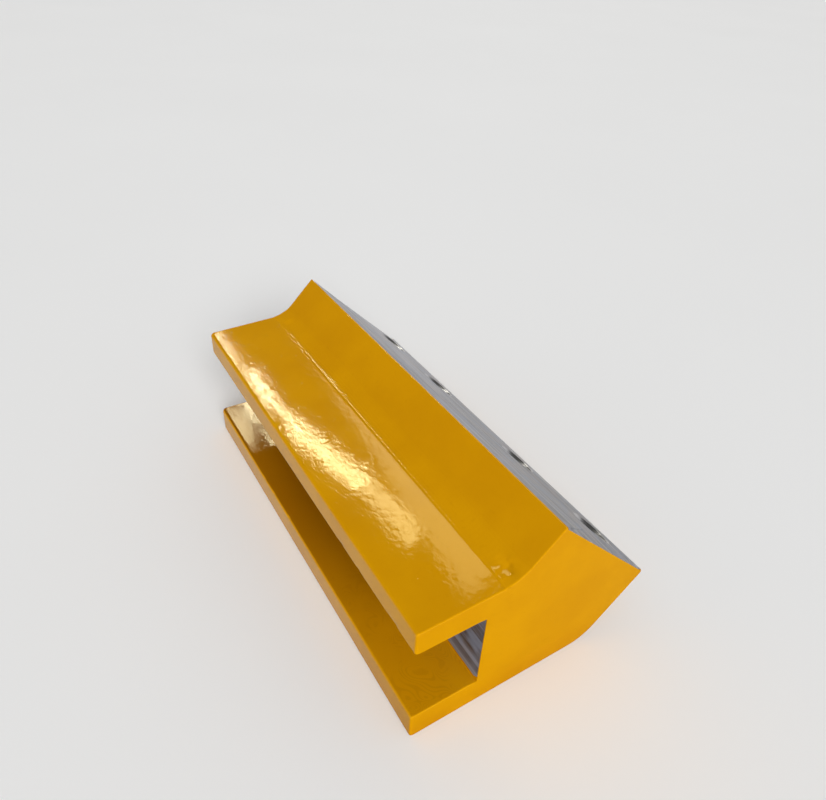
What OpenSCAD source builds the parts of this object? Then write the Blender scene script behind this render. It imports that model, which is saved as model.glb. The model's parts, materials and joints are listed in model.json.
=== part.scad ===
// Slotted wear-edge shroud: a C-shaped jaw of two plates and a filler bar that slides over the edge of a
// plate, with a flat bar welded on at 45 degrees. The bar's outer face is the machined seat for a bolt-on
// wear piece. The section lies in the YZ plane and runs along X. The slot opens towards -Y, and the part
// rests on its lower plate at Z = 0.

/* [Length] */
// Length along the slot
part_len = 274; // [250:1:400]

/* [Jaw] */
// Clear width of the slot, which is the thickness of the plate it fits
slot_w = 50; // [40:0.5:60]
// Depth of the slot
slot_depth = 38.2; // [30:0.1:42]
// Thickness of the lower plate
lower_t = 17.5; // [14:0.5:19]
// Thickness of the upper plate at its tip
upper_tip_t = 15; // [12:0.5:16]
// Thickness of the upper plate at its root
upper_root_t = 16; // [12:0.5:18]

/* [Seat bar] */
// Width of the bar, across its seat face
bar_w = 100; // [90:1:110]
// Thickness of the bar
bar_t = 50; // [40:1:52]
// Height of the bar's lower corner above the underside of the part
bar_lift = 0.6; // [0:0.1:2]
// Radius of the ridge, the upper edge of the seat face
ridge_r = 0.8; // [0.5:0.1:2]
// Radius of the nose, the lower edge of the seat face
nose_r = 2; // [0.5:0.1:3]

/* [Bolt holes] */
// Drilled diameter of the tapped holes (M24 x 3)
tap_d = 20.75; // [12:0.25:22]
// Depth of the full-diameter drilling
tap_depth = 38; // [20:1:40]
// Diameter of the countersink at the mouth
sink_d = 25; // [22.5:0.5:28]
// Distance from the nose edge of the bar to the row of holes
hole_edge = 25; // [18:0.5:50]
// Distance between the two inner holes
inner_pitch = 90; // [60:1:120]
// Distance between the two outer holes
outer_pitch = 220; // [190:1:225]

/* [Welds and edges] */
// Leg of the groove weld on the upper plate and on the bar
groove_leg = 8; // [4:0.5:10]
// Radius of the ground corner under the bar
heel_r = 25; // [10:1:30]
// Width of the seal welds on the end faces
seal_w = 7; // [4:0.5:8]
// Depth of the seal welds below the end faces
seal_deep = 4; // [3:0.5:6]
// Radius of the long edges of the jaw plates
edge_r = 1.5; // [0.5:0.1:2]

/* [Hidden] */

PAINT = [0.84, 0.58, 0.05];
BARE = [0.58, 0.57, 0.56];
WELD = [0.80, 0.52, 0.06];

bar_tilt = 45;
diag = sin(bar_tilt);
up_bar = [diag, diag]; // along the bar's thickness, towards the seat
down_bar = [diag, -diag]; // along the bar's width, towards the nose
arc_steps = 8;
edge_steps = 4;
past = 1; // how far a cut runs past the face it opens
tap_point = 118; // included angle of the drill point
sink_angle = 120; // included angle of the countersink
bore_fn = 64;

slot_floor = lower_t;
slot_roof = slot_floor + slot_w;

// The bar's upper side runs down at 45 degrees into the upper inner corner of the slot
side_rise = slot_roof - slot_depth; // z - y anywhere on that side
ridge_z = bar_lift + (bar_w + bar_t) * diag;
ridge = [ridge_z - side_rise, ridge_z];
nose = ridge + down_bar * bar_w;
heel = nose - up_bar * bar_t;
back_corner = ridge - up_bar * bar_t;
back_sum = heel[0] + heel[1]; // y + z anywhere on the bar's back
web_toe = [back_sum - slot_floor, slot_floor];
under = [heel[0] - bar_lift, 0]; // where the bar's underside runs into the underside of the part

// The rounded nose edge and the slot's mouth are equally far from the origin
mouth_y = -(nose[0] - nose_r * (sqrt(2) - 1)) / 2;

// Top of the upper plate, which thickens from its tip to the groove corner at the bar
top_tip = slot_roof + upper_tip_t;
top_root = slot_roof + upper_root_t;
groove = [top_root - side_rise, top_root];
roof_corner = [slot_depth, slot_roof];
floor_corner = [slot_depth, slot_floor];
to_tip = [0, top_tip] - groove;
along_top = to_tip / norm(to_tip);

groove_root = groove - up_bar * 7; // how deep the groove weld reaches down the bar's side
groove_edge = groove + along_top * 5.5; // where the upper plate's top edge is cut back to
heel_root = heel - down_bar * 7; // how high the nose weld reaches up the bar's back
heel_split = 6; // the nose weld ends at this step of the heel's arc

// Points of a corner p between a and b, rounded to radius r in n steps
function corner(a, p, b, r, n = edge_steps) =
    let (u = (a - p) / norm(a - p),
         v = (b - p) / norm(b - p),
         half = acos(u * v) / 2,
         c = p + (u + v) / norm(u + v) * r / sin(half),
         s = p + u * r / tan(half) - c,
         turn = sign(s[1] * u[0] - s[0] * u[1]) * (180 - 2 * half))
    [for (i = [0:n]) let (t = turn * i / n)
        c + [s[0] * cos(t) - s[1] * sin(t), s[0] * sin(t) + s[1] * cos(t)]];

function part_of(pts, from, to) = [for (i = [from:to]) pts[i]];

heel_arc = corner([0, 0], under, nose, heel_r, arc_steps);

// Section extruded along X over the full length, with the slot's mouth at the back and the part centred
module along_x(pts) {
    translate([0, mouth_y, 0])
        rotate([90, 0, 90])
            linear_extrude(height = part_len, center = true)
                polygon(pts);
}

// Triangular run of seal weld at end side (1 near, -1 far), along the seam from a to b, ground flush.
// With cut set it is the groove for that weld, which opens past the end face.
module seal_run(side, a, b, cut) {
    run = b - a;
    root = [-side * seal_deep, 0];
    lip = cut ? side * past : 0;
    mouth = seal_w / 2 * (1 + abs(lip) / seal_deep);
    translate([side * part_len / 2, a[0] + mouth_y, a[1]])
        rotate([atan2(run[1], run[0]), 0, 0])
            rotate([-90, 0, 0])
                linear_extrude(height = norm(run))
                    polygon([root, [lip, mouth], [lip, -mouth]]);
}

module bar_run(side, cut = false) { seal_run(side, back_corner, heel_root, cut); }
module web_run(side, cut = false) { seal_run(side, floor_corner, web_toe - [seal_w / 4, 0], cut); }
module jaw_run(side, cut = false) { seal_run(side, roof_corner, groove_root, cut); }

// What the end seals take out of the plates and bars
module seal_cuts() {
    for (side = [-1, 1]) {
        bar_run(side, true);
        web_run(side, true);
        jaw_run(side, true);
    }
}

// One tapped hole with its drill point and countersink, its mouth at the origin and its depth along -Z
module tapped_hole() {
    tap_r = tap_d / 2;
    sink_deep = (sink_d - tap_d) / 2 / tan(sink_angle / 2);
    rotate_extrude($fn = bore_fn)
        polygon([[0, past], [sink_d / 2, past], [sink_d / 2, 0], [tap_r, -sink_deep], [tap_r, -tap_depth],
                 [0, -tap_depth - tap_r / tan(tap_point / 2)]]);
}

module bolt_holes() {
    hole = nose - down_bar * hole_edge;
    for (x = [-outer_pitch, -inner_pitch, inner_pitch, outer_pitch])
        translate([x / 2, hole[0] + mouth_y, hole[1]])
            rotate([-bar_tilt, 0, 0])
                tapped_hole();
}

// Lower jaw. Its nose edge is bevelled to lie on the bar's back, and cut back for the nose weld
module lower_plate() {
    color(PAINT) difference() {
        along_x(concat(corner(web_toe, [0, slot_floor], [0, 0], edge_r),
                       corner([0, slot_floor], [0, 0], under, edge_r),
                       [heel_arc[0], heel_root, web_toe]));
        seal_cuts();
    }
}

// Upper jaw. Its root is bevelled to lie on the bar's upper side, and cut back for the groove weld
module upper_plate() {
    color(PAINT) difference() {
        along_x(concat(corner(groove, [0, top_tip], [0, slot_roof], edge_r),
                       corner([0, top_tip], [0, slot_roof], roof_corner, edge_r),
                       [roof_corner, groove_root, groove_edge]));
        seal_cuts();
    }
}

// Filler between the plates. Its bare machined face is the bottom of the slot
module web_block() {
    color(BARE) difference() {
        along_x([floor_corner, web_toe, back_corner, roof_corner]);
        seal_cuts();
    }
}

// Flat bar at 45 degrees. Its bare outer face is the seat, with the row of tapped holes near the nose
module seat_bar() {
    color(PAINT) difference() {
        along_x(concat([heel_root], part_of(heel_arc, heel_split, arc_steps),
                       corner(heel, nose, ridge, nose_r), corner(nose, ridge, back_corner, ridge_r),
                       [back_corner]));
        seal_cuts();
        bolt_holes();
    }
}

// Weld between the upper plate and the bar, with a hollow face from toe to toe
module groove_weld() {
    face_r = groove_leg * tan(acos(along_top * up_bar) / 2);
    face = corner(groove + along_top * groove_leg, groove, ridge, face_r, arc_steps);
    color(WELD) along_x(concat([groove_root, groove_edge], face));
}

// Weld between the lower plate and the bar, ground to one radius with the heel
module nose_weld() {
    color(WELD) along_x(concat([heel_root], part_of(heel_arc, 0, heel_split)));
}

// A seal stops at the long welds and at the seals laid before it
module bar_seal(side) {
    color(WELD) difference() {
        bar_run(side);
        nose_weld();
    }
}
module web_seal(side) {
    color(WELD) difference() {
        web_run(side);
        bar_run(side, true);
    }
}
module jaw_seal(side) {
    color(WELD) difference() {
        jaw_run(side);
        bar_run(side, true);
        groove_weld();
    }
}

lower_plate();
upper_plate();
web_block();
seat_bar();
groove_weld();
nose_weld();
bar_seal(1);  // near_bar_seal
web_seal(1);  // near_web_seal
jaw_seal(1);  // near_jaw_seal
bar_seal(-1);  // far_bar_seal
web_seal(-1);  // far_web_seal
jaw_seal(-1);  // far_jaw_seal
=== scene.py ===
import json
import math

import bmesh
import bpy
from mathutils import Matrix, Vector, noise


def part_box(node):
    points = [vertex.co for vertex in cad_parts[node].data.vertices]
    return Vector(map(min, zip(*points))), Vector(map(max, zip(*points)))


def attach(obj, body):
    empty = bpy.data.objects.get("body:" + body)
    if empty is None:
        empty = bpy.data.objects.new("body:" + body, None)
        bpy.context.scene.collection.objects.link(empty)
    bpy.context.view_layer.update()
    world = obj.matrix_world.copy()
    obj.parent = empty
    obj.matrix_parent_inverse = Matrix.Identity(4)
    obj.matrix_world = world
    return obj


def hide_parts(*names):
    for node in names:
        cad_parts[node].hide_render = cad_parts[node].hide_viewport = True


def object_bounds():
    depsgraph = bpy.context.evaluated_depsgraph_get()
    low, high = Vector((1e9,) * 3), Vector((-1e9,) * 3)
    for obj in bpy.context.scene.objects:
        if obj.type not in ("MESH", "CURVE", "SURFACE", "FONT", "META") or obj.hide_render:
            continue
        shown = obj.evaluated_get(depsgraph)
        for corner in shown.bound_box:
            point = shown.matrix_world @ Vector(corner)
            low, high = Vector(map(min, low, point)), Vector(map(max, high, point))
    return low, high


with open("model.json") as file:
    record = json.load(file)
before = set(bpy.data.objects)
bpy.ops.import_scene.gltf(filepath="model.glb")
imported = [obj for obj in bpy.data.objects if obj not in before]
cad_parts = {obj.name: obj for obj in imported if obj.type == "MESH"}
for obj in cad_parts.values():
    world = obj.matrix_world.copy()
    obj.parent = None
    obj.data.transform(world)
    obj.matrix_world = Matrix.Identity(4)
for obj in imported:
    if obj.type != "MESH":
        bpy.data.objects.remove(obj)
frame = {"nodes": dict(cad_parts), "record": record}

# The part is a weldment of flat bars: each bar is one prism along X, which this script remakes with finer
# detail than the CAD solid has. Its section, its length and its place come from the CAD node it stands for.

CAD_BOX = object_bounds()
MM = 0.001
scene = bpy.context.scene
record = frame["record"]
mounts = {m["name"]: m for m in record["mounts"]}

# ---------------------------------------------------------------- places, all from the frame

BARS = ["lower_plate", "upper_plate", "web_block", "seat_bar", "groove_weld", "nose_weld"]
SEALS = ["near_bar_seal", "near_web_seal", "near_jaw_seal", "far_bar_seal", "far_web_seal", "far_jaw_seal"]

END_X = CAD_BOX[1].x  # the end faces lie at -END_X and END_X
MOUTH_Y = CAD_BOX[0].y
SLOT_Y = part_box("web_block")[0].y  # the slot's bottom, which faces -Y
SLOT_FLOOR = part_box("lower_plate")[1].z
SLOT_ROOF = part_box("upper_plate")[0].z
SEAT_AT = Vector(mounts["seat_face"]["pos_m"])
SEAT_OUT = Vector(mounts["seat_face"]["axis"]).normalized()
SEAT_DOWN = SEAT_OUT.cross(Vector((-1, 0, 0)))  # along the seat, from the ridge to the nose
SEAT_HALF = 50 * MM  # half the seat's width
HOLES = [m for m in record["mounts"] if m["kind"] == "threaded_hole"]


def smooth(low, high, value):
    """0 below low, 1 above high, and an S curve between."""
    t = min(max((value - low) / (high - low), 0.0), 1.0)
    return t * t * (3 - 2 * t)


# ---------------------------------------------------------------- sections of the CAD nodes

SAME = 0.01 * MM  # points closer than this are one point
STRAIGHT = 1e-4  # an outline that turns by less than this, as a sine, runs straight on


def section(node):
    """The node's outline in the YZ plane at the middle of its length, anticlockwise as seen from +X."""
    bm = bmesh.new()
    bm.from_mesh(frame["nodes"][node].data)
    bmesh.ops.remove_doubles(bm, verts=bm.verts, dist=SAME / 10)
    geom = bm.verts[:] + bm.edges[:] + bm.faces[:]
    bmesh.ops.bisect_plane(bm, geom=geom, plane_co=(0, 0, 0), plane_no=(1, 0, 0), clear_inner=True,
                           clear_outer=True)
    bmesh.ops.remove_doubles(bm, verts=bm.verts, dist=SAME)
    first = bm.verts[:][0]
    loop = [first]
    edge = first.link_edges[0]
    vert = edge.other_vert(first)
    while vert is not first:
        loop.append(vert)
        edge = next(e for e in vert.link_edges if e is not edge)
        vert = edge.other_vert(vert)
    points = [Vector((v.co.y, v.co.z)) for v in loop]
    bm.free()
    points = [p for i, p in enumerate(points) if turn_at(points, i) > STRAIGHT]
    area = sum(a.x * b.y - a.y * b.x for a, b in zip(points, points[1:] + points[:1]))
    return points if area > 0 else points[::-1]


def turn_at(points, i):
    """How far the outline turns at point i, as the sine of the angle."""
    a = (points[i] - points[i - 1]).normalized()
    b = (points[(i + 1) % len(points)] - points[i]).normalized()
    return abs(a.cross(b))


def inside(point, outline):
    """True if the point lies inside the outline."""
    hit = False
    for a, b in zip(outline, outline[1:] + outline[:1]):
        if (a.y > point.y) != (b.y > point.y):
            if point.x < a.x + (point.y - a.y) / (b.y - a.y) * (b.x - a.x):
                hit = not hit
    return hit


def split_at_neighbours(name):
    """The outline with a point wherever another bar's corner lies on one of its sides."""
    out = []
    outline = SECTIONS[name]
    others = [p for other, pts in SECTIONS.items() if other != name for p in pts]
    for a, b in zip(outline, outline[1:] + outline[:1]):
        run = b - a
        on_side = set()
        for p in others:
            t = (p - a).dot(run) / run.length_squared
            gap = abs((p - a).cross(run)) / run.length
            if gap < SAME and SAME < t * run.length < run.length - SAME:
                on_side.add(round(t, 6))
        out += [a] + [a + run * t for t in sorted(on_side)]
    return out


SECTIONS = {name: section(name) for name in BARS}
SECTIONS = {name: split_at_neighbours(name) for name in BARS}

# ---------------------------------------------------------------- the surface of steel under paint

END_ROUND = 0.7 * MM  # radius that the ends of the long edges are ground to
ROUND_STEPS = 4
FAR_TIP_R = 3.2 * MM  # radius of the jaw's corners in plan
NEAR_TIP_R = 1.2 * MM
TIP_REACH = 3.4 * MM  # the length at each end that has finer steps for those corners
TIP_STEPS = 7
TIP_SQUEEZE = 14 * MM  # how far from the mouth the section is squeezed for them
TIP_THINNER = 0.9 * MM  # the upper plate is this much thinner at its tip than at its root
NICK_COUNT = 9
NICK_SPREAD = 0.9  # share of the length that the nicks lie on
NICK_SIZE = (1.2, 1.8)  # mm: the least radius, and the most that chance adds to it
NICK_DEPTH = (0.2, 0.35)  # mm, likewise
NOSE_WELD_RELIEF = 0.4  # share of the relief on the nose weld
TO_MOUTH = -0.3  # a side that faces further towards -Y than this is a sawn edge of the jaw
TO_TOP = 0.5  # and one that faces further up than this is a plate's top


def wave(x, p, size, seed):
    """Smooth noise from 0 to 1 whose humps are about size apart. Each seed gives another pattern."""
    return 0.5 + 0.5 * noise.noise(Vector((x, p.x, p.y)) / size + Vector((seed * 7.3, seed * 3.1, seed)))


def hills(x, p, *layers):
    """Layers of noise, each given as its height in mm, how far apart its humps are in mm, and its seed."""
    return sum(height * wave(x, p, size * MM, seed) for height, size, seed in layers) * MM


def plate_top(x, p):
    """Rolled scale under thick paint: long hollows with a finer wrinkle on them."""
    return hills(x, p, (0.06, 24, 1), (0.016, 6, 2), (0.021, 2.3, 3))


def plain_face(x, p):
    return hills(x, p, (0.08, 30, 4), (0.02, 9, 5))


def sawn_edge(x, p):
    return hills(x, p, (0.14, 26, 6), (0.05, 6, 7))


def make_nicks():
    """Small knocks along the two edges of the jaw's tips: place, size and depth."""
    nicks = []
    for i in range(NICK_COUNT):
        pick = [noise.cell(Vector((i + 0.5, k + 0.5, 9.5))) % 1.0 for k in range(4)]
        plate = "upper_plate" if i % 3 else "lower_plate"
        low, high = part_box(plate)
        edge_z = high.z if pick[0] > 0.35 else low.z
        if plate == "upper_plate" and edge_z == high.z:
            edge_z -= TIP_THINNER
        place = Vector(((2 * pick[1] - 1) * NICK_SPREAD * END_X, MOUTH_Y, edge_z))
        size = (NICK_SIZE[0] + NICK_SIZE[1] * pick[2]) * MM
        deep = (NICK_DEPTH[0] + NICK_DEPTH[1] * pick[3]) * MM
        nicks.append((place, size, deep))
    return nicks


NICKS = make_nicks()


def nick_depth(x, p):
    depth = 0
    for place, size, deep in NICKS:
        away = (Vector((x, p.x, p.y)) - place).length
        if away < 3 * size:
            depth += deep * math.exp(-(away / size) ** 2)
    return depth


def depth_at(name, x, p, facing):
    """How far the finished surface lies inside the CAD surface, by which way that part of it faces."""
    if name == "nose_weld":
        return NOSE_WELD_RELIEF * plain_face(x, p)
    if name == "seat_bar":
        return plain_face(x, p)
    if facing.x < TO_MOUTH:
        return sawn_edge(x, p) + nick_depth(x, p)
    if name == "upper_plate" and facing.y > TO_TOP:
        return plate_top(x, p) + nick_depth(x, p)
    return plain_face(x, p) + nick_depth(x, p)


# ---------------------------------------------------------------- the groove weld's bead

BEAD_LIFT = 0.22 * MM  # how far the bead stands over the hollow CAD face
TOE_WIDTH = 0.9 * MM
TOE_WANDER = 2.2 * MM  # how far the toe strays at the far end
TOE_STRAY = 0.3 * MM  # and everywhere
WANDER_SPAN = (-0.35 * END_X, -0.75 * END_X)  # the straying grows between these
BLEND_WIDTH = 7 * MM  # the bead runs out smoothly on the bar's side
RIPPLE_GAP = 3.1 * MM
RIPPLE_LIFT = 0.07 * MM
RIPPLE_BOW = 2.2 * MM  # how far the ripples' ends trail behind their middle
RIPPLE_DRIFT = 1.2 * MM
MIDDLE_SHARE = 0.42  # of half the bead's width, for the crater and the lump
CRATER_AT = END_X - 9 * MM  # the weld stops in a crater with a lumpy edge
CRATER_LONG = 4.5 * MM
CRATER_LUMPS = 0.75 * MM
CRATER_DEEP = 1.3 * MM
START_AT = -END_X + 8 * MM  # and starts with a lump
START_LONG = 7 * MM
START_LUMP = 0.9 * MM


def bead_depth(x, p, across, width):
    """The bead: raised between its two toes, rippled by the weaving, lumpy where it starts and stops."""
    stray = TOE_WANDER * smooth(*WANDER_SPAN, x) + TOE_STRAY
    toe = width - across - stray * wave(x, p, 7 * MM, 16) ** 2
    window = smooth(0, BLEND_WIDTH, across) * smooth(0, TOE_WIDTH, toe)
    middle = 2 * across / width - 1
    bow = x + RIPPLE_BOW * middle * middle + RIPPLE_DRIFT * wave(x, p, 12 * MM, 11)
    ripple = 0.5 + 0.5 * math.cos(2 * math.pi * bow / RIPPLE_GAP)
    lift = BEAD_LIFT * (0.75 + 0.5 * wave(x, p, 14 * MM, 12))
    lift += RIPPLE_LIFT * ripple * wave(x, p, 9 * MM, 13)
    stop = math.exp(-((x - CRATER_AT) / CRATER_LONG) ** 2)
    start = math.exp(-((x - START_AT) / START_LONG) ** 2)
    hollow = math.exp(-(middle / MIDDLE_SHARE) ** 2)
    lift += stop * (CRATER_LUMPS * wave(x, p, 3.2 * MM, 14) - CRATER_DEEP * hollow)
    lift += start * (START_LUMP * wave(x, p, 5 * MM, 15) * hollow)
    return -lift * window


# ---------------------------------------------------------------- prisms

# The longest side of a face across each bar and along it
STEP = {"lower_plate": 1.6 * MM, "upper_plate": 0.9 * MM, "web_block": 2 * MM, "seat_bar": 2 * MM,
        "groove_weld": 0.5 * MM, "nose_weld": 1.2 * MM}
STATION = {"lower_plate": 1.6 * MM, "upper_plate": 0.9 * MM, "web_block": 2 * MM, "seat_bar": 2 * MM,
           "groove_weld": 0.6 * MM, "nose_weld": 2 * MM}
PAINTED, BARE, TAPPED = 0, 1, 2  # the material slots of every bar
PROBE_OUT = 0.05 * MM  # a side shows if the point this far outside it lies in no other bar
CORNER_REACH = (0.2 * MM, 6 * MM)  # the rounding of the ends grows between these, from the slot's corners
ALIGNED = 0.999  # cosine between two ways that count as one
NEARLY_IN_LINE = 0.3  # two sides that turn by less than this, as a sine, move along their mean


def is_machined(name, normal):
    """True for the two faces left bare: the seat and the slot's bottom."""
    if name == "seat_bar":
        return Vector((0, *normal)).dot(SEAT_OUT) > ALIGNED
    return name == "web_block" and normal.x < -ALIGNED


def offset_way(before, after):
    """The way a corner moves when the sides that show move out by 1 and the sides in a joint stay in line.
    Each side is its outward normal and whether it shows."""
    shown = [n for n, shows in (before, after) if shows]
    if not shown:
        return Vector((0, 0))
    (n1, s1), (n2, s2) = before, after
    cross = n1.cross(n2)
    if abs(cross) < NEARLY_IN_LINE:
        return sum(shown, Vector((0, 0))).normalized()
    return Vector((s1 * n2.y - s2 * n1.y, s2 * n1.x - s1 * n2.x)) / cross


def ring_of(name):
    """The bar's outline cut up finely. Each point has its place, the way it moves and whether it stays
    where it is. The side from it to the next point has whether it shows and whether it is left bare."""
    outline = SECTIONS[name]
    sides = []
    for a, b in zip(outline, outline[1:] + outline[:1]):
        run = (b - a).normalized()
        normal = Vector((run.y, -run.x))
        probe = (a + b) / 2 + normal * PROBE_OUT
        shows = not any(inside(probe, SECTIONS[other]) for other in BARS if other != name)
        sides.append((a, b, normal, shows, is_machined(name, normal)))
    ring = []
    for i, (a, b, normal, shows, bare) in enumerate(sides):
        before = sides[i - 1]
        parts = max(1, math.ceil((b - a).length / STEP[name])) if shows and not bare else 1
        for k in range(parts):
            if k:
                way, fixed = normal, not shows
            else:
                way = offset_way((before[2], before[3]), (normal, shows))
                fixed = bare or before[4] or not (shows or before[3])
            ring.append({"at": a.lerp(b, k / parts), "way": way, "fixed": fixed, "shows": shows,
                         "bare": bare})
    return ring


def stations_of(name):
    """The places along X, with the steps of the rounding at both ends: each is x and the inward offset."""
    even = END_X - TIP_REACH
    count = math.ceil(2 * even / STATION[name])
    middle = [(-even + 2 * even * i / count, 0.0) for i in range(1, count)]
    flat = END_X - END_ROUND
    rounding = []
    for i in range(TIP_STEPS + 1):
        rounding.append((even + (flat - even) * math.sin(math.pi / 2 * i / TIP_STEPS), 0.0))
    for i in range(1, ROUND_STEPS + 1):
        t = math.pi / 2 * i / ROUND_STEPS
        rounding.append((flat + END_ROUND * math.sin(t), END_ROUND * (1 - math.cos(t))))
    return [(-x, d) for x, d in rounding[::-1]] + middle + rounding


def tip_shift(x, y):
    """The jaw's corners are rounded in plan, more at the far end, and the section is squeezed to suit."""
    radius = FAR_TIP_R if x < 0 else NEAR_TIP_R
    inward = min(END_X - abs(x), radius)
    shift = radius - math.sqrt(radius ** 2 - (radius - inward) ** 2)
    return shift * max(0.0, 1 - (y - MOUTH_Y) / TIP_SQUEEZE)


def rounding_share(p):
    """The ends are ground round except at the slot's inner corners, where the grinder can't reach."""
    corners = (Vector((SLOT_Y, SLOT_FLOOR)), Vector((SLOT_Y, SLOT_ROOF)))
    return smooth(*CORNER_REACH, min((p - c).length for c in corners))


def bead_run(ring):
    """How far each shown point of the weld lies across its face, and the face's width."""
    shown = [i for i, r in enumerate(ring) if r["shows"]]
    start = next(i for i in shown if not ring[i - 1]["shows"])
    order = [(start + k) % len(ring) for k in range(len(shown) + 1)]
    run = {order[0]: 0.0}
    for a, b in zip(order, order[1:]):
        run[b] = run[a] + (ring[b]["at"] - ring[a]["at"]).length
    return run, run[order[-1]]


def make_bar(name):
    """One bar as a closed mesh, with its worked surface, its rounded ends and its machined faces flat."""
    ring = ring_of(name)
    stations = stations_of(name)
    across = bead_run(ring) if name == "groove_weld" else None
    bm = bmesh.new()
    rows = []
    for x, offset in stations:
        row = []
        for i, r in enumerate(ring):
            at = r["at"]
            depth = offset * rounding_share(at)
            if across and i in across[0]:
                depth += bead_depth(x, at, across[0][i], across[1])
            elif not r["fixed"]:
                depth += depth_at(name, x, at, r["way"])
            p = at - r["way"] * depth
            row.append(bm.verts.new((x, p.x + tip_shift(x, at.x), p.y)))
        rows.append(row)
    count = len(ring)
    for a, b in zip(rows, rows[1:]):
        for i in range(count):
            j = (i + 1) % count
            face = bm.faces.new((a[i], a[j], b[j], b[i]))
            face.material_index = BARE if ring[i]["bare"] else PAINTED
    bm.faces.new(rows[0][::-1])
    bm.faces.new(rows[-1])
    bmesh.ops.recalc_face_normals(bm, faces=bm.faces)
    machined = [f for f in bm.faces if f.material_index == BARE]
    if machined:
        bmesh.ops.dissolve_faces(bm, faces=machined)
    return bm


def as_object(bm, name):
    mesh = bpy.data.meshes.new(name)
    bm.to_mesh(mesh)
    bm.free()
    ob = bpy.data.objects.new(name, mesh)
    scene.collection.objects.link(ob)
    return ob


# ---------------------------------------------------------------- cuts

PAST = 1 * MM  # how far a cut runs past the face it opens
SEAL_PAST = 0.02 * MM  # and past the ends of a seal, so that no sliver is left there


def seal_cutter(node):
    """The groove that a seal weld fills, opened past the end face."""
    bm = bmesh.new()
    bm.from_mesh(frame["nodes"][node].data)
    bmesh.ops.remove_doubles(bm, verts=bm.verts, dist=SAME)
    roots = [v.co.copy() for v in bm.verts if abs(abs(v.co.x) - END_X) > SAME]
    a = max(roots, key=lambda c: (c - roots[0]).length)
    b = max(roots, key=lambda c: (c - a).length)
    run = (b - a).normalized()
    deep = END_X - abs(a.x)
    grow = 1 + PAST / deep
    for v in bm.verts:
        at = (v.co - a).dot(run)
        root = a + run * at
        root.x = a.x
        end = SEAL_PAST if at > (b - a).length / 2 else -SEAL_PAST
        v.co = root + (v.co - root) * grow + run * end
    return as_object(bm, "cut_" + node)


THREAD_PITCH = 3 * MM
THREAD_DEPTH = 1.6 * MM  # from crest to root
CREST = 0.25  # share of the pitch that the thread's crest takes up
ROOT = 0.125
THREAD_SIDES = 48
THREAD_STEP = THREAD_PITCH / 12
THREAD_FADE = 3 * MM  # the end of the thread runs out over this length
DRILL_PAST = 6 * MM  # and the bore runs on this far past it
POINT_SLOPE = math.tan(math.radians(59))  # half the drill point's angle
SINK_R = 12.5 * MM  # the countersink's radius at the seat
SINK_SLOPE = math.tan(math.radians(60))  # half the countersink's angle


def thread_height(turns):
    """Height of an internal 60 degree thread's groove, from 0 at its crest to 1 at its root."""
    v = abs(turns % 1.0 - 0.5) * 2
    return min(max((1 - CREST - v) / (1 - CREST - ROOT), 0.0), 1.0)


def add_hole(bm, mount):
    """Adds the wall of one tapped hole: countersink, right-hand thread and drill point. Gives its rim."""
    axis = Vector(mount["axis"]).normalized()
    bore_r = mount["dims"]["r_mm"] * MM
    middle = Vector(mount["pos_m"])
    mouth = middle + axis * (SEAT_AT - middle).dot(axis)
    wall_end = (mouth - middle).length + mount["dims"]["length_mm"] * MM / 2
    last_thread = wall_end - DRILL_PAST
    side = Vector((1, 0, 0))
    up = axis.cross(side)
    steps = math.ceil(wall_end / THREAD_STEP)
    rows = []
    for i in range(steps + 1):
        t = wall_end * i / steps
        row = []
        for k in range(THREAD_SIDES):
            angle = 2 * math.pi * k / THREAD_SIDES
            cut = thread_height(t / THREAD_PITCH + k / THREAD_SIDES)
            full = THREAD_DEPTH * (1 - smooth(last_thread - THREAD_FADE, last_thread, t))
            r = max(bore_r + full * cut, SINK_R - t * SINK_SLOPE)
            spot = mouth - axis * t + (side * math.cos(angle) + up * math.sin(angle)) * r
            row.append(bm.verts.new(spot))
        rows.append(row)
    tip = bm.verts.new(mouth - axis * (wall_end + bore_r / POINT_SLOPE))
    faces = []
    for k in range(THREAD_SIDES):
        j = (k + 1) % THREAD_SIDES
        for a, b in zip(rows, rows[1:]):
            faces.append(bm.faces.new((a[k], b[k], b[j], a[j])))
        faces.append(bm.faces.new((rows[-1][k], tip, rows[-1][j])))
    for f in faces:
        f.material_index = TAPPED
    rim = rows[0]
    return [bm.edges.get((rim[k - 1], rim[k])) for k in range(THREAD_SIDES)]


def drill(ob):
    """Opens the tapped holes: the bare seat is made again as a flat face round their rims."""
    bm = bmesh.new()
    bm.from_mesh(ob.data)
    bare = [f for f in bm.faces if f.material_index == BARE]
    outline = [e for e in bm.edges if [f.material_index for f in e.link_faces].count(BARE) == 1]
    bmesh.ops.delete(bm, geom=bare, context="FACES_ONLY")
    rims = [e for mount in HOLES for e in add_hole(bm, mount)]
    bmesh.ops.delete(bm, geom=[e for e in bm.edges if not e.link_faces], context="EDGES")
    filled = bmesh.ops.triangle_fill(bm, use_beauty=True, edges=outline + rims, normal=SEAT_OUT)
    for f in filled["geom"]:
        if isinstance(f, bmesh.types.BMFace):
            f.material_index = BARE
    bmesh.ops.recalc_face_normals(bm, faces=bm.faces)
    bm.to_mesh(ob.data)
    bm.free()


def carve(ob, cutter):
    """Takes the cutter out of the piece."""
    cut = ob.modifiers.new("cut", "BOOLEAN")
    cut.operation = "DIFFERENCE"
    cut.solver = "EXACT"
    cut.object = cutter
    bpy.context.view_layer.objects.active = ob
    bpy.ops.object.modifier_apply(modifier=cut.name)


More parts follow.
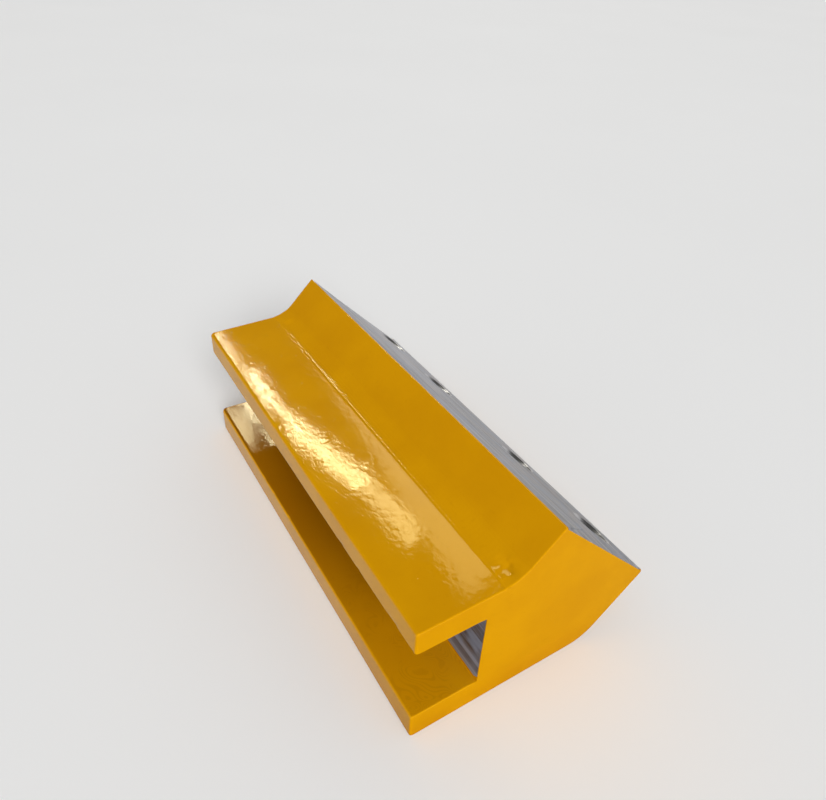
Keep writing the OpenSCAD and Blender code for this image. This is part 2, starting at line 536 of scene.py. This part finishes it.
def touches(ob, node):
    """True if the piece's box and the CAD node's box overlap."""
    low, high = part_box(node)
    points = [Vector(c) for c in ob.bound_box]
    for k in range(3):
        if min(p[k] for p in points) > high[k] - SAME or max(p[k] for p in points) < low[k] + SAME:
            return False
    return True


SHARP_TURN = math.radians(32)
SLIVER = (0.2 * MM) ** 2  # a face smaller than this may be folded, so it is made into triangles
CRUMB = 40  # a loose island with fewer faces than this is a crumb left by a cut
FLAT_WEIGHT = 60  # how strongly large faces set the normals of the edges round them


def drop_crumbs(bm):
    """Deletes the loose islands that a cut can leave behind."""
    seen = set()
    for start in bm.faces[:]:
        if start in seen:
            continue
        island = [start]
        seen.add(start)
        for f in island:
            for e in f.edges:
                for other in e.link_faces:
                    if other not in seen:
                        seen.add(other)
                        island.append(other)
        if len(island) < CRUMB:
            bmesh.ops.delete(bm, geom=island, context="FACES")


def drop_doubled(bm):
    """Deletes the pairs of faces that lie back to back on the same corners."""
    on_corners = {}
    for f in bm.faces:
        on_corners.setdefault(frozenset(f.verts), []).append(f)
    doubled = [f for faces in on_corners.values() if len(faces) > 1 for f in faces]
    bmesh.ops.delete(bm, geom=doubled, context="FACES")


def finish_mesh(ob):
    """Cleans up after the cuts, marks the true edges sharp and gives smooth weighted normals."""
    bm = bmesh.new()
    bm.from_mesh(ob.data)
    bmesh.ops.remove_doubles(bm, verts=bm.verts, dist=SAME / 20)
    bmesh.ops.dissolve_degenerate(bm, edges=bm.edges, dist=SAME / 20)
    drop_crumbs(bm)
    split = [f for f in bm.faces if len(f.verts) > 4 or f.calc_area() < SLIVER]
    bmesh.ops.triangulate(bm, faces=split)
    drop_doubled(bm)
    for e in bm.edges:
        kinds = [f.material_index for f in e.link_faces]
        e.smooth = len(kinds) == 2 and kinds[0] == kinds[1] and e.calc_face_angle(0) < SHARP_TURN
    for f in bm.faces:
        f.smooth = True
    bm.to_mesh(ob.data)
    bm.free()
    weigh = ob.modifiers.new("normals", "WEIGHTED_NORMAL")
    weigh.keep_sharp = True
    weigh.weight = FLAT_WEIGHT


# ---------------------------------------------------------------- materials


class Nodes:
    """Short names for the few kinds of node that the materials use."""

    def __init__(self, name):
        self.material = bpy.data.materials.new(name)
        self.material.use_nodes = True
        self.tree = self.material.node_tree
        self.tree.nodes.clear()
        self.place = self.new("ShaderNodeTexCoord").outputs["Object"]
        self.facing = self.new("ShaderNodeTexCoord").outputs["Normal"]

    def new(self, kind, **values):
        node = self.tree.nodes.new(kind)
        for key, value in values.items():
            setattr(node, key, value)
        return node

    def put(self, socket, value):
        if isinstance(value, bpy.types.NodeSocket):
            self.tree.links.new(value, socket)
        else:
            socket.default_value = value

    def math(self, how, a, b=0.0, c=0.0):
        node = self.new("ShaderNodeMath", operation=how)
        for socket, value in zip(node.inputs, (a, b, c)):
            self.put(socket, value)
        return node.outputs[0]

    def along(self, vector, way):
        """How far a vector reaches along a fixed way."""
        node = self.new("ShaderNodeVectorMath", operation="DOT_PRODUCT")
        self.put(node.inputs[0], vector)
        node.inputs[1].default_value = way
        return node.outputs["Value"]

    def span(self, value, low, high, to_low=0.0, to_high=1.0):
        """value carried smoothly from low..high to to_low..to_high."""
        node = self.new("ShaderNodeMapRange", interpolation_type="SMOOTHSTEP")
        for socket, v in zip(node.inputs, (value, low, high, to_low, to_high)):
            self.put(socket, v)
        return node.outputs[0]

    def stretch(self, scale):
        node = self.new("ShaderNodeMapping")
        self.put(node.inputs["Vector"], self.place)
        node.inputs["Scale"].default_value = scale
        return node.outputs[0]

    def noise(self, size, detail=2.0, rough=0.5, warp=0.0, where=None):
        """Noise with features about size metres wide. Where the place is already stretched, size is 1."""
        node = self.new("ShaderNodeTexNoise")
        self.put(node.inputs["Vector"], where or self.place)
        node.inputs["Scale"].default_value = 1 / size
        node.inputs["Detail"].default_value = detail
        node.inputs["Roughness"].default_value = rough
        node.inputs["Distortion"].default_value = warp
        return node.outputs["Fac"]

    def cells(self, size):
        """How far each place is from the middle of its cell, in cells about size metres wide."""
        node = self.new("ShaderNodeTexVoronoi")
        self.put(node.inputs["Vector"], self.place)
        node.inputs["Scale"].default_value = 1 / size
        return node.outputs["Distance"]

    def mix(self, share, a, b):
        node = self.new("ShaderNodeMix", data_type="RGBA")
        self.put(node.inputs[0], share)
        self.put(node.inputs[6], a)
        self.put(node.inputs[7], b)
        return node.outputs[2]

    def bump(self, height, strength, distance, onto=None):
        node = self.new("ShaderNodeBump")
        self.put(node.inputs["Height"], height)
        self.put(node.inputs["Strength"], strength)
        node.inputs["Distance"].default_value = distance
        if onto:
            self.put(node.inputs["Normal"], onto)
        return node.outputs[0]

    def principled(self, **values):
        node = self.new("ShaderNodeBsdfPrincipled")
        for key, value in values.items():
            self.put(node.inputs[key], value)
        return node.outputs[0]

    def finish(self, shader):
        out = self.new("ShaderNodeOutputMaterial")
        self.tree.links.new(shader, out.inputs["Surface"])
        return self.material


# Linear RGBA
YELLOW = (0.70, 0.325, 0.001, 1)
AMBER = (0.55, 0.225, 0.001, 1)
JAW_SHADE_AND_SCUFF_BROWN = (0.33, 0.125, 0.001, 1)
GROUND_SHADE_ORANGE = (0.42, 0.13, 0.003, 1)
GLOSS_TINT = (1.0, 0.85, 0.30, 1)
STEEL = (0.74, 0.73, 0.72, 1)
STEEL_DARK = (0.25, 0.25, 0.27, 1)
SLOT_LIGHT = (0.38, 0.48, 0.68, 1)
SLOT_BLUE = (0.22, 0.32, 0.50, 1)
SLOT_DARK = (0.035, 0.042, 0.06, 1)
STEEL_BLUE = (0.44, 0.50, 0.62, 1)
STEEL_WARM = (0.58, 0.52, 0.49, 1)
OILED = (0.10, 0.09, 0.085, 1)

# Relief of the enamel: the size and the height of each layer
WRINKLE_SIZE, WRINKLE_HIGH = 5.5 * MM, 0.030 * MM
FINE_SIZE, FINE_HIGH = 1.1 * MM, 0.006 * MM
GRIT_SIZE, GRIT_HIGH, GRIT_SHARE = 0.45 * MM, 0.01 * MM, 0.10
NIB_GAP, NIB_HIGH, NIB_SHARE = 7 * MM, 0.12 * MM, 0.25
NIB_WIDTH = 0.09  # in cells
FACE_UP = (0.85, 0.98)  # a face counts as rolled between these, by how far up it faces
FACE_END = (0.6, 0.3)  # and between these, by how far along X it faces
CALM_RELIEF = 0.15  # share of the relief on the faces that weren't rolled
PAINT_ROUGH, PAINT_ROUGH_SPAN = 0.035, 0.03
PAINT_SPECULAR = 0.42
CLOUD_SIZE, CLOUD_SHARE = 38 * MM, 0.30
THIN_SIZE, THIN_SHARE = 3 * MM, 0.22
GROUND_SHADE_TOP, GROUND_SHADE_BOTTOM, GROUND_SHADE_SHARE = 22 * MM, -6 * MM, 0.45  # heights between which the painted shade near the floor grows
JAW_BAND = (SLOT_FLOOR + 3 * MM, SLOT_FLOOR + MM)  # heights between which the painted shade and the scuffs in the lower jaw grow
SCUFF_SIZE, SCUFF_RINGS, SCUFF_SHARE = 24 * MM, 150.0, 0.22


def enamel_shader(n):
    """Thick glossy enamel: wrinkled over rolled scale and smoother elsewhere, with grit under it."""
    end_on = n.math("ABSOLUTE", n.along(n.facing, (1, 0, 0)))
    upward = n.along(n.facing, (0, 0, 1))
    rolled = n.math("MULTIPLY", n.span(upward, *FACE_UP), n.span(end_on, *FACE_END))
    coarse = n.noise(WRINKLE_SIZE, 3.0, 0.6, 1.0)
    fine = n.noise(FINE_SIZE, 1.0, 0.5, 0.8)
    grit = n.noise(GRIT_SIZE, 2, 0.5)
    nibs = n.span(n.cells(NIB_GAP), 0.0, NIB_WIDTH, 1.0, 0.0)
    calm = n.math("MULTIPLY_ADD", rolled, 1 - CALM_RELIEF, CALM_RELIEF)
    relief = n.bump(coarse, calm, WRINKLE_HIGH)
    relief = n.bump(fine, calm, FINE_HIGH, relief)
    relief = n.bump(grit, GRIT_SHARE, GRIT_HIGH, relief)
    relief = n.bump(nibs, NIB_SHARE, NIB_HIGH, relief)
    cloud = n.span(n.noise(CLOUD_SIZE, 3, 0.5), 0.35, 0.7)
    colour = n.mix(n.math("MULTIPLY", cloud, CLOUD_SHARE), YELLOW, AMBER)
    thin = n.span(n.noise(THIN_SIZE, 4, 0.65), 0.55, 0.8)
    colour = n.mix(n.math("MULTIPLY", thin, THIN_SHARE), colour, AMBER)
    height = n.along(n.place, (0, 0, 1))
    # Painted shade: the enamel turns a darker orange towards the bottom, in noisy patches, for the shade
    # where the part meets the floor.
    ground_shade = n.math("MULTIPLY", n.span(height, GROUND_SHADE_TOP, GROUND_SHADE_BOTTOM), n.noise(16 * MM, 3, 0.6))
    colour = n.mix(n.math("MULTIPLY", ground_shade, GROUND_SHADE_SHARE), colour, GROUND_SHADE_ORANGE)
    # Painted shade: the lower plate's inner face turns brown, more so towards the far end. The scuffs below
    # use the same brown.
    in_jaw = n.math("MULTIPLY", n.span(upward, 0.8, 0.95), n.span(height, *JAW_BAND))
    jaw_shade_toward_far = n.span(n.along(n.place, (1, 0, 0)), END_X, -0.2 * END_X, 0.3, 1.0)
    colour = n.mix(n.math("MULTIPLY", in_jaw, jaw_shade_toward_far), colour, JAW_SHADE_AND_SCUFF_BROWN)
    grain = n.math("SINE", n.math("MULTIPLY", n.noise(SCUFF_SIZE, 1, 0.5, 0.8), SCUFF_RINGS))
    scuffs = n.math("MULTIPLY", n.span(grain, 0.0, 0.9), n.span(n.noise(11 * MM, 2, 0.5), 0.4, 0.6))
    scuffs = n.math("MULTIPLY", scuffs, in_jaw)
    colour = n.mix(n.math("MULTIPLY", scuffs, SCUFF_SHARE), colour, JAW_SHADE_AND_SCUFF_BROWN)
    rough = n.math("MULTIPLY_ADD", n.noise(9 * MM, 3, 0.6), PAINT_ROUGH_SPAN, PAINT_ROUGH)
    return n.principled(**{"Base Color": colour, "Roughness": rough, "Normal": relief,
                           "Specular IOR Level": PAINT_SPECULAR, "Specular Tint": GLOSS_TINT})


LINE_SCALE = (11, 850, 850)  # cutter lines per metre along each axis
BAND_SCALE = (5, 170, 170)
LINE_RELIEF, BAND_RELIEF = 0.06 * MM, 0.12 * MM
RIDGE_LAP = 0.5 * MM  # how far the enamel laps over the seat's edge at least
NOSE_LAP = 0.6 * MM
SLOT_LAP = 0.3 * MM
SEAT_RAGGED = 1.6 * MM  # and how much further it may lap anywhere
SLOT_RAGGED = 1.2 * MM
FAR_LAP = 3.5 * MM  # and at the far end of the ridge
FAR_SPAN = (0.02, -0.10)  # metres along X between which that grows
SEAT_METAL = 0.6
SLOT_METAL = 0.3


def steel_shader(n, dark, light, tints, metal):
    """Machined steel: cutter lines along the bar, faint oil colours, and darker smears."""
    lines = n.noise(1, 3, 0.6, 0.0, n.stretch(LINE_SCALE))
    bands = n.noise(1, 3, 0.55, 0.3, n.stretch(BAND_SCALE))
    smear = n.noise(14 * MM, 3, 0.6, 0.8)
    colour = n.mix(n.span(lines, 0.36, 0.62), dark, light)
    colour = n.mix(n.span(bands, 0.40, 0.60, 0.35, 1.0), dark, colour)
    colour = n.mix(n.span(smear, 0.42, 0.62, 0.0, 0.45), colour, tints[0])
    colour = n.mix(n.span(n.noise(21 * MM, 2, 0.5, 1.0), 0.5, 0.68, 0.0, 0.4), colour, tints[1])
    rough = n.math("MULTIPLY_ADD", lines, 0.22, 0.26)
    relief = n.bump(lines, 0.35, LINE_RELIEF)
    relief = n.bump(bands, 0.30, BAND_RELIEF, relief)
    return n.principled(**{"Base Color": colour, "Roughness": rough, "Normal": relief, "Metallic": metal,
                           "Anisotropic": 0.4})


def enamel(name):
    n = Nodes(name)
    return n.finish(enamel_shader(n))


def painted_edge(n, paint, steel, bare):
    """Steel where bare is 1, and paint where it is 0."""
    mix = n.new("ShaderNodeMixShader")
    n.put(mix.inputs[0], bare)
    n.put(mix.inputs[1], paint)
    n.put(mix.inputs[2], steel)
    return mix.outputs[0]


def seat_steel():
    """The seat: bare inside, with enamel lapping over its edges, further at the far end of the ridge."""
    n = Nodes("seat_steel")
    down = n.math("SUBTRACT", n.along(n.place, SEAT_DOWN), SEAT_AT.dot(SEAT_DOWN))
    from_ridge = n.math("ADD", down, SEAT_HALF)
    from_nose = n.math("SUBTRACT", SEAT_HALF, down)
    along = n.along(n.place, (1, 0, 0))
    from_end = n.math("SUBTRACT", END_X, n.math("ABSOLUTE", along))
    ragged = n.math("MULTIPLY", n.noise(6 * MM, 4, 0.6), SEAT_RAGGED)
    wander = n.math("MULTIPLY", n.span(n.noise(26 * MM, 2, 0.5), 0.4, 0.75), FAR_LAP)
    far = n.span(along, *FAR_SPAN)
    lap = n.math("ADD", ragged, n.math("MULTIPLY", wander, far))
    edge = n.math("SUBTRACT", from_ridge, n.math("ADD", lap, RIDGE_LAP))
    edge = n.math("MINIMUM", edge, n.math("SUBTRACT", from_nose, n.math("ADD", ragged, NOSE_LAP)))
    edge = n.math("MINIMUM", edge, n.math("SUBTRACT", from_end, n.math("MULTIPLY", ragged, 0.9)))
    bare = n.span(edge, 0.0, 0.25 * MM)
    paint = enamel_shader(n)
    steel = steel_shader(n, STEEL_DARK, STEEL, (STEEL_BLUE, STEEL_WARM), SEAT_METAL)
    return n.finish(painted_edge(n, paint, steel, bare))


def slot_steel():
    """The slot's bottom: bare inside, with a line of enamel along both inner corners and at the ends."""
    n = Nodes("slot_steel")
    height = n.along(n.place, (0, 0, 1))
    from_end = n.math("SUBTRACT", END_X, n.math("ABSOLUTE", n.along(n.place, (1, 0, 0))))
    ragged = n.math("MULTIPLY", n.noise(5 * MM, 4, 0.6), SLOT_RAGGED)
    edge = n.math("SUBTRACT", n.math("SUBTRACT", height, SLOT_FLOOR), n.math("ADD", ragged, SLOT_LAP))
    roof = n.math("SUBTRACT", n.math("SUBTRACT", SLOT_ROOF, height), n.math("MULTIPLY", ragged, 0.7))
    edge = n.math("MINIMUM", edge, roof)
    edge = n.math("MINIMUM", edge, n.math("SUBTRACT", from_end, n.math("MULTIPLY", ragged, 0.6)))
    bare = n.span(edge, 0.0, 0.2 * MM)
    paint = enamel_shader(n)
    steel = steel_shader(n, SLOT_DARK, SLOT_LIGHT, (SLOT_BLUE, SLOT_BLUE), SLOT_METAL)
    return n.finish(painted_edge(n, paint, steel, bare))


def tapped_steel():
    """Inside the holes: cut thread, dark with cutting oil deeper down."""
    n = Nodes("tapped_steel")
    deep = n.math("SUBTRACT", SEAT_AT.dot(SEAT_OUT), n.along(n.place, SEAT_OUT))
    oil = n.math("MULTIPLY", n.span(deep, 0.5 * MM, 9 * MM), n.span(n.noise(6 * MM, 3), 0.2, 0.6))
    colour = n.mix(oil, STEEL, OILED)
    scratch = n.noise(0.5 * MM, 3, 0.6)
    return n.finish(n.principled(**{"Base Color": colour, "Metallic": 1.0,
                                    "Roughness": n.math("MULTIPLY_ADD", scratch, 0.2, 0.25),
                                    "Normal": n.bump(scratch, 0.3, 0.05 * MM)}))


# ---------------------------------------------------------------- the part

ENAMEL = enamel("enamel")
WELD = enamel("weld_enamel")  # the same paint, as a material of its own for the record's weld slot
BARE_OF = {"seat_bar": seat_steel(), "web_block": slot_steel()}
TAPPED_STEEL = tapped_steel()
PAINT_OF = {"groove_weld": WELD, "nose_weld": WELD}


def make_part():
    seal_cutters = {node: seal_cutter(node) for node in SEALS}
    for name in BARS:
        ob = as_object(make_bar(name), name + "_piece")
        for material in (PAINT_OF.get(name, ENAMEL), BARE_OF.get(name, ENAMEL), TAPPED_STEEL):
            ob.data.materials.append(material)
        if not name.endswith("weld"):  # the end seals lie in the plates and bars only
            for node, cutter in seal_cutters.items():
                if touches(ob, node):
                    carve(ob, cutter)
        if name == "seat_bar":
            drill(ob)
        finish_mesh(ob)
        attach(ob, "root")
        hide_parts(name)
    for cutter in seal_cutters.values():
        bpy.data.objects.remove(cutter)
    for node in SEALS:
        materials = frame["nodes"][node].data.materials
        materials.clear()
        materials.append(WELD)


make_part()

# ---------------------------------------------------------------- camera, at the photograph's viewing angle

CAM_PLACE = (0.2739, -0.1696, 0.3260)  # metres, in the part's frame
CAM_HEADING = math.radians(147.16)  # of the line of sight in plan, counted from +X
CAM_PITCH = math.radians(-36.30)
CAM_ROLL = math.radians(2.86)
CAM_LENS = 29.4  # mm
CAM_SENSOR = 36  # mm, the sensor's width


def way(azimuth, elevation):
    """The unit vector at an azimuth from +X and an elevation, both in degrees."""
    a, e = math.radians(azimuth), math.radians(elevation)
    return Vector((math.cos(e) * math.cos(a), math.cos(e) * math.sin(a), math.sin(e)))


def make_camera():
    data = bpy.data.cameras.new("camera")
    data.lens = CAM_LENS
    data.sensor_width = CAM_SENSOR
    data.clip_start = 0.01
    data.clip_end = 20
    cam = bpy.data.objects.new("camera", data)
    scene.collection.objects.link(cam)
    flat = math.cos(CAM_PITCH)
    sight = Vector((flat * math.cos(CAM_HEADING), flat * math.sin(CAM_HEADING), math.sin(CAM_PITCH)))
    turn = sight.to_track_quat("-Z", "Y").to_matrix().to_4x4()
    cam.matrix_world = Matrix.Translation(CAM_PLACE) @ turn @ Matrix.Rotation(CAM_ROLL, 4, "Z")
    scene.camera = cam


# ---------------------------------------------------------------- lights, floor and surroundings

PANEL_AWAY = 12.0  # metres
WINDOW_CREAM = (1.0, 0.97, 0.88)
SUN_FROM = (-15, 32)  # azimuth and elevation, in degrees
SUN_WIDE = 28  # degrees across
SUN_ENERGY = 2.5


def make_panel(name, start, end, wide, radiance, side=0.0):
    """A rectangular softbox, far enough off that all of the part sees it in the same direction.
    Its middle line runs from start to end, each an azimuth and an elevation in degrees. It is wide degrees
    across, and side moves it over by that share of its width. It shows in gloss only, because the sun and
    the sky already carry the diffuse light."""
    a, b = way(*start) * PANEL_AWAY, way(*end) * PANEL_AWAY
    middle = (a + b) / 2
    run = (b - a).normalized()
    up = middle.normalized().cross(run).normalized()
    back = run.cross(up)
    light = bpy.data.lights.new(name, "AREA")
    light.shape = "RECTANGLE"
    light.size = (b - a).length
    light.size_y = math.radians(wide) * PANEL_AWAY
    light.energy = radiance * math.pi * light.size * light.size_y
    light.color = WINDOW_CREAM
    ob = bpy.data.objects.new(name, light)
    scene.collection.objects.link(ob)
    middle += up * light.size_y * side
    ob.matrix_world = Matrix.Translation(middle) @ Matrix((run, up, back)).transposed().to_4x4()
    ob.visible_camera = False
    ob.visible_diffuse = False


def make_lights():
    """Four narrow panels in a bent line make the streak along the upper plate. The far box makes the patch
    inside the jaw, and the side box the pale band beside the weld. The soft key shows in no gloss."""
    make_panel("streak_tip", (168.9, 29.0), (165.9, 34.6), 0.25, 30)
    make_panel("streak_far", (165.5, 34.4), (161.3, 40.0), 0.4, 46)
    make_panel("streak_middle", (161.5, 39.8), (154.4, 44.8), 1.2, 24)
    make_panel("streak_near", (155.0, 44.2), (148.0, 49.6), 1.7, 10)
    make_panel("far_box", (168.4, 37.8), (164.6, 37.8), 3.4, 10)
    make_panel("side_box", (161.4, 29.5), (140.6, 54.0), 26, 3.7, 0.5)
    sun = bpy.data.lights.new("key", "SUN")
    sun.angle = math.radians(SUN_WIDE)
    sun.energy = SUN_ENERGY
    ob = bpy.data.objects.new("key", sun)
    scene.collection.objects.link(ob)
    ob.matrix_world = way(*SUN_FROM).to_track_quat("Z", "Y").to_matrix().to_4x4()
    ob.visible_glossy = False


def sky_ramp(tree, value, stops):
    """A colour ramp over value (-1 straight down, 1 straight up), from (value, colour) stops."""
    span = tree.nodes.new("ShaderNodeMapRange")
    span.inputs["From Min"].default_value = -1
    ramp = tree.nodes.new("ShaderNodeValToRGB")
    elements = ramp.color_ramp.elements
    while len(elements) < len(stops):
        elements.new(0.5)
    for element, (at, colour) in zip(elements, stops):
        element.position = (at + 1) / 2
        element.color = (*colour, 1)
    tree.links.new(value, span.inputs["Value"])
    tree.links.new(span.outputs[0], ramp.inputs[0])
    return ramp.outputs[0]


# Skies as (height, colour) stops, the height from -1 straight down to 1 straight up
FILL_SKY = [(-0.2, (0.30, 0.28, 0.25)), (0.1, (0.42, 0.42, 0.42))]
GLOSS_SKY = [(-0.85, (0.05, 0.035, 0.015)), (-0.62, (0.12, 0.11, 0.10)), (-0.35, (0.70, 0.69, 0.70)),
             (-0.05, (0.60, 0.60, 0.62)), (0.12, (0.05, 0.05, 0.05)), (1.0, (0.04, 0.04, 0.04))]
LIT_FLOOR = (0.50, 0.47, 0.42, 1)  # the floor towards the far end, which the jaw's sawn edges mirror
LIT_FROM_X, LIT_TO_X = -0.15, -0.55  # it grows between these, by how far the way seen points along X
LIT_FROM_Z, LIT_TO_Z = -0.1, -0.3  # and by how far it points up


def share_between(tree, value, low, high):
    """0 where value is low and 1 where it is high."""
    node = tree.nodes.new("ShaderNodeMapRange")
    node.inputs["From Min"].default_value = low
    node.inputs["From Max"].default_value = high
    tree.links.new(value, node.inputs["Value"])
    return node.outputs[0]


def make_world():
    """An even pale sky for diffuse light. Gloss meets a darker hall with a light floor at a distance."""
    world = bpy.data.worlds.new("studio")
    world.use_nodes = True
    tree = world.node_tree
    back = tree.nodes["Background"]
    coords = tree.nodes.new("ShaderNodeTexCoord")
    split = tree.nodes.new("ShaderNodeSeparateXYZ")
    tree.links.new(coords.outputs["Generated"], split.inputs[0])
    up = split.outputs["Z"]
    fill = sky_ramp(tree, up, FILL_SKY)
    gloss = sky_ramp(tree, up, GLOSS_SKY)
    share = tree.nodes.new("ShaderNodeMath")
    share.operation = "MULTIPLY"
    tree.links.new(share_between(tree, split.outputs["X"], LIT_FROM_X, LIT_TO_X), share.inputs[0])
    tree.links.new(share_between(tree, up, LIT_FROM_Z, LIT_TO_Z), share.inputs[1])
    lit = tree.nodes.new("ShaderNodeMix")
    lit.data_type = "RGBA"
    lit.blend_type = "LIGHTEN"
    tree.links.new(share.outputs[0], lit.inputs[0])
    tree.links.new(gloss, lit.inputs[6])
    lit.inputs[7].default_value = LIT_FLOOR
    ray = tree.nodes.new("ShaderNodeLightPath")
    mix = tree.nodes.new("ShaderNodeMix")
    mix.data_type = "RGBA"
    tree.links.new(ray.outputs["Is Glossy Ray"], mix.inputs[0])
    tree.links.new(fill, mix.inputs[6])
    tree.links.new(lit.outputs[2], mix.inputs[7])
    tree.links.new(mix.outputs[2], back.inputs["Color"])
    scene.world = world


FLOOR_SIZE = 40  # metres from its middle to its sides
FLOOR_DROP = 0.15 * MM  # the floor lies this far below the part, so that the two don't flicker
FLOOR_SHADES = ((0.90, 0.90, 0.895, 1), (0.93, 0.93, 0.925, 1))
FLOOR_ROUGH = 0.9


def make_floor():
    bm = bmesh.new()
    bmesh.ops.create_grid(bm, x_segments=2, y_segments=2, size=FLOOR_SIZE)
    bmesh.ops.translate(bm, verts=bm.verts, vec=(0, 0, -FLOOR_DROP))
    floor = as_object(bm, "floor")
    n = Nodes("floor_paper")
    shade = n.mix(n.noise(0.4, 3), *FLOOR_SHADES)
    floor.data.materials.append(n.finish(n.principled(**{"Base Color": shade, "Roughness": FLOOR_ROUGH})))
    floor.visible_glossy = False


make_camera()
make_lights()
make_world()
make_floor()
scene.view_settings.view_transform = "Standard"
